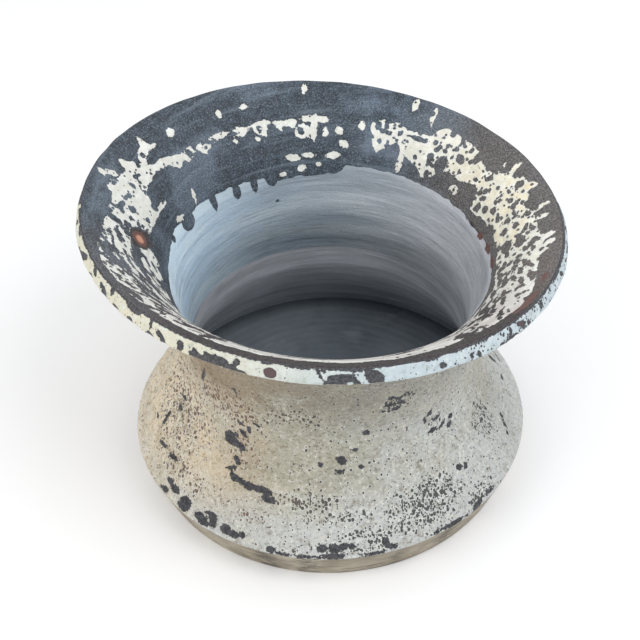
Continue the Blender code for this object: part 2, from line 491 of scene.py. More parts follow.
def mark(azimuth, along, radius, degrees, place, length, width, turn=0.0):
    """How far inside an oval mark each point is, in millimetres. Its length lies round the vessel, and turn
    tips it towards greater along, in degrees."""
    inside = np.full(len(azimuth), FAR_OUTSIDE)
    reach = max(length, width) / 2 + MARK_MARGIN
    across, up = np.radians(apart(azimuth, degrees)) * radius, along - place
    near = (np.abs(across) < reach) & (np.abs(up) < reach)
    across, up = across[near], up[near]
    c, s = math.cos(math.radians(turn)), math.sin(math.radians(turn))
    u, v = (across * c + up * s) / (length / 2), (up * c - across * s) / (width / 2)
    inside[near] = (1.0 - np.hypot(u, v)) * min(length, width) / 2
    return inside


def marks(azimuth, along, radius, entries):
    """Many oval marks together. Each is (degrees, millimetres along, length, width, turn if it has one)."""
    inside = np.full(len(azimuth), FAR_OUTSIDE)
    for entry in entries:
        inside = np.maximum(inside, mark(azimuth, along, radius, *entry))
    return inside


def between(azimuth, along, edges):
    """How far inside a band of paint each point is, in millimetres. edges are (degrees, first edge, second
    edge) round the vessel, in rising order, and may run past 360."""
    turned_to = np.where(azimuth < edges[0][0], azimuth + 360.0, azimuth)
    degrees, first, second = zip(*edges)
    inside = np.minimum(along - np.interp(turned_to, degrees, first),
                        np.interp(turned_to, degrees, second) - along)
    return np.where(turned_to > degrees[-1], FAR_OUTSIDE, inside)


# Places where the cream is chipped off the wall, and spots of it left in them: degrees round, millimetres
# up from the keel, length, width, turn
WALL_CHIPS = (
    (231.5, 70.5, 10, 8, -10), (234.4, 67.5, 9, 6, -14), (236.8, 66, 6, 5), (231.6, 66.8, 8, 5),
    (237, 42.8, 8, 4), (239.5, 42, 8, 4, -6), (242, 41.4, 8, 5), (244.6, 41.6, 9, 4),
    (247.2, 42.4, 9, 4.4, -8), (249.4, 41, 5, 3, -20), (248.6, 37, 7, 6), (250.6, 36.4, 6, 4, -6),
    (234.2, 74.6, 4, 3), (235.6, 56.4, 4, 4, 60), (236.6, 54.4, 4, 4), (234.6, 48.8, 6, 2.4, 30),
    (235, 44.6, 3, 3), (239.4, 83.4, 3.2, 6), (243.2, 90.6, 6, 2.6, -8), (236.2, 85.6, 5, 2.4, -20),
    (236.6, 78.2, 5, 2.6, -30), (236, 117.5, 3.4, 6), (273, 69.4, 6, 7, 30), (272.4, 61, 8, 3),
    (279.8, 62.6, 4, 3), (282.2, 91, 5, 4, -30), (278, 77, 3, 3), (266, 66.4, 3, 3), (215, 11.6, 9, 5, -2),
    (217.6, 10.2, 9, 5, 4), (213.8, 3.4, 9, 4), (223.2, 7.6, 10, 9.5), (222.4, 3.6, 9, 5),
    (229.4, 6, 9, 6, 20), (232.6, 10.6, 11, 5.6), (234, 6.8, 6, 9), (231, 3.4, 13, 5),
    (238.4, 6.8, 8, 6.5, -10), (241.2, 5.4, 7, 5), (243.6, 6.8, 5, 4), (252.2, 2.4, 6, 5),
    (256, 1, 9, 2.6), (262, 0.8, 14, 2), (266.4, 7.6, 7, 5, 10), (269.6, 7.2, 6, 7), (272.4, 8.4, 6, 5),
    (269.6, 2, 16, 4), (274.6, 7.8, 4, 4), (284, 7, 5, 6.5), (285.6, 3, 7, 4), (281, 1, 14, 2),
    (304, 1.2, 26, 2.4), (314, 2.2, 12, 4, 12), (320, 3.6, 9, 3), (340.8, 23, 2.6, 7, -25),
    (342.4, 28.6, 2.4, 5, -25), (339.4, 17.6, 2, 3, -25), (204.4, 25.4, 9, 3, 14), (211.6, 27, 8, 2.6, 5),
    (202, 65.6, 7, 3, 14), (202, 58, 8, 3.4), (198.4, 39, 3.4, 12, 8), (219.8, 112, 2.6, 12, -24),
    (193, 30, 6, 3), (290.6, 121.6, 5, 2.6, 10), (293.6, 118.6, 5, 2.8, 6), (296.8, 121.6, 5, 2.4, 8),
    (290, 114.4, 6, 2.8, 10), (294.6, 113.4, 4.6, 2.6, 12), (299.6, 117.6, 4, 2, 16),
    (292.4, 108.6, 5.4, 3, 10), (287.6, 109.6, 4.4, 2.6), (308, 86, 4, 5), (305.6, 82.6, 3, 5),
    (311.4, 78.6, 5, 3, 20), (308.6, 70.6, 6, 3, 10), (313.4, 70, 6, 3, 20), (316.6, 66, 5, 3),
    (318.4, 70.6, 4, 3), (316, 32, 5, 4, 40), (313.4, 34, 4, 5, 40),
)
CHIP_ISLANDS = (
    (231.6, 9, 2.4, 2.2), (229.2, 9.6, 1.8, 1.6), (222.6, 8.6, 1.6, 1.6),
)

# Patches of the wall: degrees round, millimetres up, spread in each, and strength. First where it is
# thick with pits, then where it is grimy or darkened with painted shade, then where it is stained with ochre
WALL_PITTING = (
    (293, 115, 7, 10, 1.1), (299, 24, 16, 21, 1.12), (281, 14, 15, 8, 0.95), (311, 75, 9, 12, 0.62),
    (262, 39, 15, 11, 0.9), (204, 66, 27, 52, 0.87), (272, 28, 16, 7, 0.85), (270, 6, 22, 6, 0.85),
    (317, 9, 9, 8, 0.95), (333, 44, 9, 24, 0.85), (214, 24, 22, 15, 0.8), (244, 22, 22, 10, 0.6),
    (230, 100, 24, 26, 0.85), (258, 106, 14, 12, 0.8), (236, 66, 9, 26, 0.7), (284, 62, 20, 14, 0.5),
    (150, 60, 16, 22, 0.7), (95, 30, 18, 18, 0.9), (60, 85, 16, 14, 0.7), (20, 40, 14, 20, 0.6),
    (120, 105, 9, 9, 0.9),
)
GRIME_PATCHES = ((239, 62, 15, 34, 0.42), (344, 60, 12, 50, 0.45), (270, 72, 18, 22, 0.2))
OCHRE_PATCHES = ((232, 44, 9, 26, 0.12),)


def patches(azimuth, along, entries):
    """The strongest of soft patches. Each is (degrees, millimetres along, spread in each, strength)."""
    most = np.zeros(len(azimuth))
    for degrees, place, wide, tall, strength in entries:
        here = bell(azimuth, degrees, wide) * np.exp(-((along - place) / tall) ** 2)
        most = np.maximum(most, strength * here)
    return most


def facing(azimuth, degrees):
    """1 on the side of the vessel that faces that way, 0 on the far side."""
    return 0.5 + 0.5 * np.cos(np.radians(azimuth - degrees))


def with_back(entries):
    """Marks in front, and marks of the same kind round the back."""
    return entries + tuple(((degrees + BACK_TURN) % 360.0, *rest) for degrees, *rest in entries)


def new_group(name, inputs, outputs):
    """A shader node group with named sockets. Inputs are (name, kind, start value), outputs are masks."""
    tree = bpy.data.node_groups.new(name, "ShaderNodeTree")
    for label, kind, value in inputs:
        socket = tree.interface.new_socket(label, in_out="INPUT", socket_type="NodeSocket" + kind)
        socket.default_value = value
    for label in outputs:
        tree.interface.new_socket(label, in_out="OUTPUT", socket_type="NodeSocketFloat")
    return tree, tree.nodes.new("NodeGroupInput").outputs, tree.nodes.new("NodeGroupOutput")


def make_edge_group():
    """A ragged paint edge: a smooth field in millimetres becomes a crisp mask with flaked borders."""
    group, given, out = new_group(
        "ragged_edge",
        [("Field", "Float", 0.0), ("Ragged", "Float", 1.0), ("Grain", "Float", 300.0),
         ("Soft", "Float", 0.15)],
        ["Mask"],
    )
    where = add(group, "TexCoord").outputs["Object"]
    rag = add(group, "TexNoise", {"Vector": where, "Scale": given["Grain"], "Detail": 4.0, "Roughness": 0.6})
    shift = maths(group, "MULTIPLY", maths(group, "SUBTRACT", rag.outputs["Fac"], 0.5), given["Ragged"])
    shifted = maths(group, "ADD", given["Field"], shift)
    mask = step_up(group, shifted, maths(group, "MULTIPLY", given["Soft"], -1.0), given["Soft"])
    group.links.new(mask, out.inputs["Mask"])
    return group


def make_pit_group():
    """Pits where paint has popped off: small odd cells, thicker where the amount is high, and the lip
    of lifted paint round each, which the materials paint as a highlight."""
    group, given, out = new_group(
        "paint_pits",
        [("Amount", "Float", 0.3), ("Cells", "Float", 300.0), ("Stretch", "Vector", (1, 1, 1))],
        ["Mask", "Lip"],
    )
    where = add(group, "TexCoord").outputs["Object"]
    placed = add(group, "VectorMath", {0: where, 1: given["Stretch"]}, operation="MULTIPLY").outputs[0]
    bend = add(group, "TexNoise", {"Vector": placed, "Scale": 420.0, "Detail": 3.0}).outputs["Color"]
    bent = add(group, "VectorMath", {0: bend, 1: PIT_BEND, 2: placed}, operation="MULTIPLY_ADD").outputs[0]
    cells = add(group, "TexVoronoi", {"Vector": bent, "Scale": given["Cells"], "Randomness": 1.0})
    luck = add(group, "SeparateColor", {0: cells.outputs["Color"]}).outputs[0]
    wanted = maths(group, "SUBTRACT", given["Amount"], luck)
    reach = add(group, "MapRange", {"Value": wanted, "From Max": 0.55, "To Min": 0.05, "To Max": 0.47})
    inside = maths(group, "SUBTRACT", reach.outputs["Result"], cells.outputs["Distance"])
    for label, low, high in (("Mask", -0.03, 0.03), ("Lip", -0.2, 0.0)):
        popped = maths(group, "MULTIPLY", step_up(group, inside, low, high),
                       maths(group, "GREATER_THAN", wanted, 0.0))
        group.links.new(popped, out.inputs[label])
    return group


PIT_BEND = (0.0014, 0.0014, 0.0014)
RAGGED_EDGE = make_edge_group()
PAINT_PITS = make_pit_group()


def flaked(tree, name, depth, grain, soft=0.12):
    """The mask of a stored field, with an edge that is flaked by depth in millimetres."""
    inputs = {"Field": field(tree, name), "Ragged": depth, "Grain": grain, "Soft": soft}
    return add(tree, "Group", inputs, node_tree=RAGGED_EDGE).outputs["Mask"]


def popped_off(tree, amount, cells, stretch=(1, 1, 1)):
    """The masks of pits and of the lips round them, where a highlight is painted."""
    inputs = {"Amount": amount, "Cells": cells, "Stretch": stretch}
    made = add(tree, "Group", inputs, node_tree=PAINT_PITS)
    return made.outputs["Mask"], made.outputs["Lip"]


def make_cream_wall():
    """Cream paint on the outer wall: tan on one side, grey-white on the other, pitted to the dark coat."""
    material, tree, shader = new_material("weathered_cream")
    pitting, warm, pale, grime = (field(tree, name) for name in ("pitting", "warm", "pale", "grime"))
    clouds = object_noise(tree, 24.0, 5.0, 0.6)
    mottle = object_noise(tree, 140.0, 5.0, 0.68)
    flecks = object_noise(tree, 420.0, 4.0, 0.7)
    speckle = object_noise(tree, 1100.0, 2.0, 0.7)
    brush = object_noise(tree, 20.0, 6.0, 0.65, 12.0)

    drift = maths(tree, "MULTIPLY", maths(tree, "SUBTRACT", clouds, 0.5), 1.2)
    base = shades(tree, maths(tree, "ADD", warm, drift), 0.5, 1.05, (174, 171, 154), (219, 203, 176))
    base = lay(tree, base, (
        (maths(tree, "ADD", pale, drift), 0.25, 0.95, 1.0, (192, 194, 192)),
        (mottle, 0.5, 0.7, 0.6, (216, 213, 199)),
        (mottle, 0.48, 0.32, 0.6, (134, 124, 104)),
        (flecks, 0.54, 0.66, 0.6, (230, 230, 221)),
        (flecks, 0.45, 0.34, 0.6, (104, 94, 80)),
        (brush, 0.55, 0.7, 0.35, (212, 215, 212)),
    ))
    # Grime and painted shade darken the cream in patches.
    patchy = maths(tree, "MULTIPLY", grime, step_up(tree, maths(tree, "ADD", clouds, mottle), 0.7, 1.15))
    base = blend(tree, patchy, base, colour(134, 119, 98), "MULTIPLY")

    large, large_lips = popped_off(tree, maths(tree, "MULTIPLY", pitting, 0.55), 240.0, (1, 1, 0.8))
    medium, medium_lips = popped_off(tree, pitting, 390.0, (1, 1, 0.7))
    small, _ = popped_off(tree, maths(tree, "MULTIPLY", pitting, 0.95), 700.0, (1, 1, 0.8))
    pit = maths(tree, "MAXIMUM", maths(tree, "MAXIMUM", large, medium), small)
    chip = flaked(tree, "chips", 4.4, 520.0)
    clean = maths(tree, "SUBTRACT", 0.75, maths(tree, "MULTIPLY", grime, 0.8), True)
    lips = maths(tree, "MULTIPLY", maths(tree, "MAXIMUM", large_lips, medium_lips), clean)
    # Painted highlight: a pale rim round the larger pits, where the lifted paint's edge catches the light,
    # kept off where the wall is grimy or shaded.
    base = blend(tree, lips, base, colour(234, 236, 231))
    brown = shades(tree, warm, 0.45, 0.8, (48, 50, 50), (106, 80, 62))
    base = blend(tree, maths(tree, "MULTIPLY", pit, 0.92), base, brown)
    base = blend(tree, chip, base, shades(tree, flecks, 0.4, 0.62, (52, 53, 56), (84, 84, 88)))
    bare = maths(tree, "MAXIMUM", pit, chip)
    paint = maths(tree, "SUBTRACT", 1.0, bare)
    rough = add(tree, "MapRange", {"Value": bare, "To Min": 0.7, "To Max": 0.85}).outputs["Result"]
    finish_material(tree, shader, base, rough,
                    [(paint, 0.0009), (mottle, 0.002), (flecks, 0.0012), (speckle, 0.0004)])
    return material


CREAM_WALL = make_cream_wall()
seam_outside, seam_inside = (foot_face(seam_height), seam_height), (foot_inside(seam_height), seam_height)
inner_line = [p for p in line_beside(shoulder_curve, 0.0, 1.0, -WALL) if p.y > seam_height + MM]
outer_line = line_beside(shoulder_curve, 0.0, 1.0)
shoulder_wall = turned("shoulder", [
    (PAINTED, 0.0014, list(reversed(outer_line))),
    (PAINTED, 0.0006, [outer_line[0], seam_outside]),
    (BARE, 0.004, [seam_outside, seam_inside]),
    (INSIDE, 0.002, [seam_inside] + inner_line),
    (BARE, 0.004, [inner_line[-1], outer_line[-1]]),
], SHOULDER_STEPS)


def wall_fields(mesh, up, outside):
    """Stores what the outer wall's paint needs, and gives the relief of its throwing."""
    azimuth, radius, _ = places(mesh)
    chips = marks(azimuth, up, radius, with_back(WALL_CHIPS)) + 0.3 + 0.5 * wander(azimuth, up, 5.0, 1.0)
    chips = np.minimum(chips, -marks(azimuth, up, radius, with_back(CHIP_ISLANDS)))
    pitting = np.maximum(patches(azimuth, up, WALL_PITTING), LEAST_PITTING)
    pale_side = facing(azimuth, 335.0)
    # Painted shade under the lip: the paint darkens towards the top, less on the pale side that faces the
    # light.
    grime = np.minimum(ramp(up, 74.0, 122.0), 0.95) * (1.0 - 0.5 * pale_side)
    keep_values(
        mesh,
        chips=np.where(outside, chips, FAR_OUTSIDE),
        pitting=np.where(outside, pitting, 0.0),
        warm=facing(azimuth, 180.0) + patches(azimuth, up, OCHRE_PATCHES),
        pale=np.clip(pale_side * 0.95 + np.clip((34.0 - up) / 60.0, -0.25, 0.4), 0.0, 1.0),
        grime=np.maximum(grime, patches(azimuth, up, GRIME_PATCHES)),
    )
    crusted = np.clip(np.cos(np.radians(azimuth - 195.0)), 0.0, 1.0) ** 3
    lumps = wander(azimuth, up, 30.0, 11.0, 1.6) * 0.0006 + wander(azimuth, up, 6.0, 5.0, 6.0) * 0.0002
    return lumps + wander(azimuth, up, 4.0, 8.0) * (0.0002 + 0.0009 * crusted)


def outline_values(mesh):
    """How far along its stretch of outline each vertex is, in millimetres, and its finish."""
    return vertex_values(mesh, "travel") / MM, vertex_values(mesh, "finish", int)


travel, finish = outline_values(shoulder_wall.data)
azimuth, _, height = places(shoulder_wall.data)
on_face = finish == PAINTED
outer_length = sum((b - a).length for a, b in zip(outer_line, outer_line[1:])) / MM
up = np.where(on_face & (height > KEEL_HEIGHT - SAME_LEVEL), outer_length - travel, 0.0)
relief = wall_fields(shoulder_wall.data, up, on_face)
fade = ramp(up, 0.0, SEAM_EASE) * ramp(outer_length - up, 0.0, SEAM_EASE)
swell(shoulder_wall.data, relief * np.where(on_face, fade, 0.0))
# Painted shade: the inside darkens towards the waist, in the crease under the neck's overhang.
crease = ramp(height / MM, *CREASE_MM)
keep_values(shoulder_wall.data, cool=0.02 * facing(azimuth, 150.0), dirt=0.24 * crease)
lean_over(shoulder_wall.data)
finish_faces(shoulder_wall, [GREY_WASH, CREAM_WALL, BARE_CLAY])
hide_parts("shoulder_wall")
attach(shoulder_wall, "root")


# Flared mouth
# The trumpet thrown for the top and luted on at the waist. Its throat keeps the grey wash, and the flare
# has a charcoal coat over terracotta, with cream paint left in rows, dashes and lacy flakes.

RIM_RADIUS = 0.165
LIP_SETBACK = 0.0045
LIP_WIDTH = 0.0125
FLARE_SLOPE = math.radians(25.0)
FLARE_REACH = 0.0462
FLARE_RISE = 0.0505
MOUTH_STEPS = 620
SHARE_STEPS = 2000
HOLE_SEED = 7

# Bands of cream left on the flare: degrees round, and their upper and lower edge in millimetres from the lip
LACE_BAND = (
    (232, 9, 60), (252, 10, 70), (268, 11, 70), (285, 10, 66), (298, 10, 62), (308, 10, 60), (320, 8, 62),
    (328, 9, 60), (337, 14, 57), (344, 17, 58), (347, 15, 58), (353, 14, 58), (356, 18, 57), (363, 19, 57),
    (368, 22, 57), (371, 16, 58), (379, 18, 58), (383, 20, 61), (385, 25, 60), (387, 27, 44),
    (392, 26, 46), (396, 20, 50), (401, 19, 47), (405, 17, 54), (409, 16, 61), (411, 19, 60),
    (413, 28, 56), (418, 29, 52), (421, 30, 48), (423, 26, 42), (427, 28, 50), (431, 29, 50),
    (433, 30, 36),
)
DASH_BAND = (
    (97, 33, 34), (99, 32, 41), (103, 32, 42), (105, 32, 38), (108, 31, 43), (111, 32, 42), (113, 33, 36),
    (116, 32, 40), (119, 33, 39), (122, 33, 36), (125, 32, 37), (128, 33, 38), (130, 33, 43),
    (132, 34, 44), (134, 35, 38), (137, 33, 42), (141, 34, 44), (144, 32, 42), (147, 30, 37),
    (151, 30, 35), (155, 26, 36), (157, 19, 37), (160, 14, 37), (162, 19, 38), (164, 18, 46),
    (167, 17, 52), (172, 19, 52), (176, 20, 50), (180, 19, 40), (184, 18, 38), (190, 15, 39),
    (196, 10, 40), (202, 7, 42), (210, 7, 48), (222, 8, 54), (232, 10, 56),
)

# Marks on the flare: degrees round, millimetres from the lip, length, width, turn. Dabs of cream outside
# the bands, the larger holes in it, bare clay, dark scuffs round it, and drips of the coat over the wash
CREAM_DABS = (
    (4.5, 13, 11, 3, 105), (14, 14, 15, 7, 80), (17, 18, 12, 13), (22.5, 14, 15, 4, 100),
    (25.6, 20, 9, 3, 110), (352, 12, 12, 4, 115), (348.5, 12, 13, 5, 125), (345.5, 16, 10, 4, 120),
    (0.5, 13, 9, 4, 90), (36, 57, 8, 6.5, 20), (50, 54, 7, 14), (60.3, 55, 4.4, 17), (64.5, 33, 9, 13),
    (69.5, 36, 13, 17), (69.4, 47, 8, 10), (55.2, 45, 11, 12), (76, 35.4, 5, 6.5), (83.4, 41, 5.4, 5.4),
    (81.6, 51, 7, 5, -20), (88, 42.6, 4.6, 6), (89, 33, 8, 5), (93.4, 32.6, 11, 4.4), (92, 41, 4, 20, -8),
    (96, 42, 11, 11), (85.4, 60, 9, 4.6, 10), (94.4, 60, 10, 3.8), (100.6, 61.4, 9.6, 5, -5),
    (97.6, 69.4, 6, 5), (91, 67, 4, 3), (105, 72.4, 5, 3), (155.4, 69, 9, 4, -10),
    (144.4, 63, 2.4, 9, -12), (149.8, 16, 4, 12, -14), (151, 19, 14, 6, 8), (147.4, 20.4, 8, 3.4),
    (153.6, 23, 9, 6, 50), (168, 12, 4, 16, -8), (165.8, 14, 4, 9, 20), (171, 17, 9, 5, 40),
    (160, 17, 6, 9), (167.5, 52.6, 34, 3.6), (161, 52.8, 13, 3.4), (186, 54, 12, 22),
    (193, 56, 16, 24, 20), (202, 56, 16, 26), (213, 58, 24, 26), (94, 8.4, 4, 7.5, -8), (113, 19, 6.4, 4),
    (121.6, 20, 3.6, 5.4), (139, 19.2, 6.6, 6), (61.4, 8.6, 4.6, 10), (55, 13.6, 3.4, 16, 6),
    (119.6, 42, 3, 4), (112, 44, 3, 3),
)
CREAM_HOLES = (
    (7.6, 17, 10, 13), (16.6, 17.6, 6.4, 8), (34.6, 26, 6, 10), (38, 24, 3, 4), (42.6, 20, 4, 7, 20),
    (46.6, 19, 4.4, 7), (39.6, 34, 8, 7, -20), (46, 30, 3, 5.4), (48.4, 34, 3, 5), (45, 45, 9, 15),
    (50, 44, 5, 8), (56.4, 34, 11, 4), (70.6, 33, 4, 6), (67.8, 32, 3, 4), (69.2, 44, 3.6, 4),
    (49, 57, 4, 7), (96.4, 42, 4.4, 5), (93.2, 51, 3, 5), (352.4, 21.6, 5.4, 6), (354.6, 34, 11, 9),
    (356, 47, 12, 10), (347.6, 35, 3.4, 6), (346.6, 44, 4, 7, 10), (335.8, 41, 8, 7), (334, 25, 9, 4, 30),
    (325, 29, 12, 4, 25), (313, 37, 10, 5, 35), (321, 42, 13, 8, 30), (304, 22, 10, 3.4, 30),
    (333, 50, 12, 5, 25), (343, 53, 6, 4, 20), (3.4, 46, 5.6, 7), (10.4, 46.6, 4, 5), (15, 46, 5.4, 6),
    (2.6, 35.4, 5.4, 6), (359, 28, 5, 4), (6, 34, 3, 4.4), (16.6, 28, 4.4, 3), (9, 58, 14, 8),
    (22, 55, 6, 8), (152.6, 20.8, 4, 4.4), (106.4, 36.6, 7, 4), (120, 36.4, 7, 3), (126.6, 37, 5, 2.4),
    (131, 35.4, 3, 2.4), (156.6, 23.6, 3, 3.4), (161, 27.4, 4, 4), (164.6, 28.6, 3, 6), (171, 28.6, 5, 3),
    (173.4, 35.4, 5, 5.4, 20), (177.4, 22.4, 3, 4), (176.4, 27, 6, 5), (171.6, 48.6, 4, 4),
    (182.6, 25, 6, 13, -10), (188, 28, 5, 6), (197.4, 18, 7, 10), (203, 20, 6, 9), (208, 25, 16, 4, 40),
    (214, 33, 24, 5, 42), (206, 42, 24, 4, 35), (220, 26, 22, 4, 30), (197, 43.6, 30, 5.4),
    (223, 46, 26, 4, 35), (213, 52, 20, 3.4, 45), (200, 53, 14, 3.4, 60), (190, 60, 8, 3, 40),
    (233, 36, 26, 4, 20), (236, 22, 26, 4, 10), (250, 30, 30, 4, 5), (243, 45, 30, 4, 10),
    (268, 34, 40, 6), (266, 22, 34, 4), (290, 26, 30, 5, 15), (296, 40, 30, 6, 20),
)
CLAY_SPOTS = (
    (182.8, 46, 15, 12, -35), (4, 65.4, 11, 6), (12.6, 67, 8, 6), (355, 63.4, 12, 5), (323, 5.6, 28, 5),
    (334, 7, 12, 4),
)
DARK_SPOTS = (
    (182.6, 46, 22, 16, -35), (187, 41.6, 7, 6), (178, 51.6, 7, 6), (180, 56, 5, 7), (20, 68, 7, 5),
)
COAT_DRIPS = (
    (110, 74, 9, 12), (117.6, 75, 5.6, 12), (125.6, 76, 7, 12), (137, 74, 6, 15), (137, 79, 2, 8),
    (152.6, 75, 15, 13), (109, 92, 3, 2, 20), (165, 74, 5, 6),
)

# How the flare's coats change round it, in degrees: the wash's upper edge in millimetres from the lip, how
# brown the coat is, how scuffed the cream is, and how much of it has popped off
WASH_EDGE = (
    (0, 64), (10, 66), (13, 67.5), (20, 68.5), (25, 67), (45, 66), (72, 66), (80, 67), (82, 70),
    (84, 73.6), (90, 74.6), (100, 75.6), (104, 76.4), (107, 77), (112, 77), (113.4, 72), (135, 71.4),
    (148, 71.6), (158, 71.6), (165, 72), (172, 76), (190, 80), (215, 84), (250, 82), (285, 76), (320, 68),
    (345, 64), (360, 64),
)
BROWNED = ((0, 0.8), (35, 0.7), (65, 0.0), (185, 0.12), (235, 1.0), (330, 1.0), (360, 0.8))
SCUFFED = ((200, 0.0), (238, 1.0), (318, 1.0), (336, 0.0))
LACE_AMOUNT = (
    (0, 0.52), (40, 0.54), (62, 0.44), (80, 0.25), (142, 0.3), (158, 0.47), (200, 0.48), (235, 0.46),
    (255, 0.3), (330, 0.46), (345, 0.5), (360, 0.52),
)

# Pale haze over the coat: degrees round, millimetres from the lip, spread in each, and strength
HAZE_PATCHES = ((68, 52, 12, 9, 0.8), (112, 47, 20, 5, 0.5))

# Where small holes are scattered: degrees from and to, millimetres from and to, how many, how drawn out
SMALL_HOLES = (
    (-62, -16, 12, 58, 100, 4.0), (-20, 28, 14, 58, 110, 1.6), (28, 73, 20, 58, 64, 1.4),
    (97, 146, 33, 44, 34, 1.6), (146, 190, 12, 50, 54, 1.6), (188, 245, 9, 62, 110, 6.0),
)


def flare_curve(t):
    """The flare's upper line, from 0 at the lip to 1 at the waist."""
    lip, waist = Vector((RIM_RADIUS - LIP_SETBACK, RIM_HEIGHT)), Vector((WAIST_RADIUS, WAIST_HEIGHT))
    along = Vector((-math.cos(FLARE_SLOPE), -math.sin(FLARE_SLOPE)))
    return bezier(lip, lip + FLARE_REACH * along, waist + Vector((0, FLARE_RISE)), waist, t)


def share_at(curve, length):
    """The share of a curve at which it has run a length."""
    travelled, previous = 0.0, curve(0.0)
    for i in range(1, SHARE_STEPS + 1):
        point = curve(i / SHARE_STEPS)
        travelled += (point - previous).length
        if travelled >= length:
            return i / SHARE_STEPS
        previous = point
    return 1.0


def small_holes():
    """The small holes of the lacy paint, scattered."""
    chance = random.Random(HOLE_SEED)
    for low, high, top, bottom, count, drawn_out in SMALL_HOLES:
        for _ in range(count):
            size = chance.uniform(1.4, 4.0)
            yield (chance.uniform(low, high) % 360, chance.uniform(top, bottom),
                   size * chance.uniform(0.8, drawn_out), size, chance.uniform(0, 50))


def round_pot(azimuth, stops):
    """A value that changes round the vessel. stops are (degrees, value)."""
    return np.interp(azimuth, *zip(*stops))


def make_charcoal_coat():
    """The flare's coats: bare clay, charcoal, the edge of the wash, and what is left of the cream."""
    material, tree, shader = new_material("charcoal_and_cream")
    scuffed, lace = field(tree, "scuffed"), field(tree, "lace")
    clouds = object_noise(tree, 22.0, 4.0)
    mottle = object_noise(tree, 150.0, 5.0, 0.72)
    speckle = object_noise(tree, 900.0, 3.0, 0.75)
    brush = object_noise(tree, 16.0, 6.0, 0.68, 14.0)

    coat = lay(tree, shades(tree, mottle, 0.36, 0.66, (36, 45, 55), (62, 76, 89)), (
        (clouds, 0.48, 0.63, 1.0, (90, 104, 118)),
        (speckle, 0.52, 0.66, 0.6, (146, 160, 172)),
        (speckle, 0.46, 0.36, 1.0, (30, 38, 46)),
        (brush, 0.52, 0.66, 0.45, (118, 133, 146)),
        (brush, 0.46, 0.32, 0.55, (38, 45, 52)),
        (clouds, 0.35, 0.7, field(tree, "haze"), (136, 148, 166)),
    ))
    dusty = shades(tree, speckle, 0.42, 0.62, (78, 73, 70), (134, 126, 120))
    sooty = shades(tree, speckle, 0.45, 0.62, (48, 42, 43), (88, 80, 78))
    coat = blend(tree, field(tree, "brown"), coat, blend(tree, scuffed, dusty, sooty))

    wash = lay(tree, wash_colour(tree)[0], [(speckle, 0.56, 0.7, 0.3, (104, 112, 118))])
    washed = flaked(tree, "wash", 1.6, 260.0, 0.15)
    base = blend(tree, washed, coat, wash)

    white = shades(tree, mottle, 0.4, 0.7, (222, 222, 214), (242, 243, 238))
    gold = shades(tree, mottle, 0.4, 0.7, (234, 221, 186), (247, 240, 214))
    small, _ = popped_off(tree, lace, 300.0)
    large, rims = popped_off(tree, lace, 130.0)
    # The painted highlight round the larger holes keeps the cream white there, not gold.
    core = maths(tree, "SUBTRACT", step_up(tree, field(tree, "cream"), 0.2, 2.0), rims, True)
    aged = maths(tree, "MULTIPLY", field(tree, "yellow"),
                 maths(tree, "ADD", maths(tree, "MULTIPLY", core, 0.8), 0.2))
    cream = blend(tree, maths(tree, "MULTIPLY", aged, step_up(tree, clouds, 0.25, 0.5)), white, gold)
    cream = lay(tree, cream, [(brush, 0.4, 0.6, scuffed, (200, 193, 188))])
    left = maths(tree, "MULTIPLY", flaked(tree, "cream", 3.6, 360.0),
                 maths(tree, "SUBTRACT", 1.0, maths(tree, "MAXIMUM", small, large)))
    base = blend(tree, left, base, cream)

    worn = maths(tree, "ADD", field(tree, "clay"), maths(tree, "MULTIPLY", mottle, 3.0))
    clay = shades(tree, worn, 3.4, 5.6, (108, 76, 70), (208, 152, 124))
    base = blend(tree, flaked(tree, "clay", 4.0, 300.0, 0.5), base, clay)
    thick = maths(tree, "SUBTRACT", left, washed)
    rough = add(tree, "MapRange", {"Value": left, "To Min": 0.6, "To Max": 0.72}).outputs["Result"]
    finish_material(tree, shader, base, rough,
                    [(thick, 0.0008), (brush, 0.001), (mottle, 0.0008), (speckle, 0.0004)])
    return material


mouth_start = share_at(flare_curve, LIP_WIDTH)
upper = line_beside(flare_curve, mouth_start, 1.0)
under = line_beside(flare_curve, mouth_start, 1.0, -WALL)
flared_mouth = turned("trumpet", [
    (PAINTED, 0.0026, under),
    (BARE, 0.004, [under[-1], upper[-1]]),
    (INSIDE, 0.00135, list(reversed(upper))),
    (BARE, 0.004, [upper[0], under[0]]),
], MOUTH_STEPS)


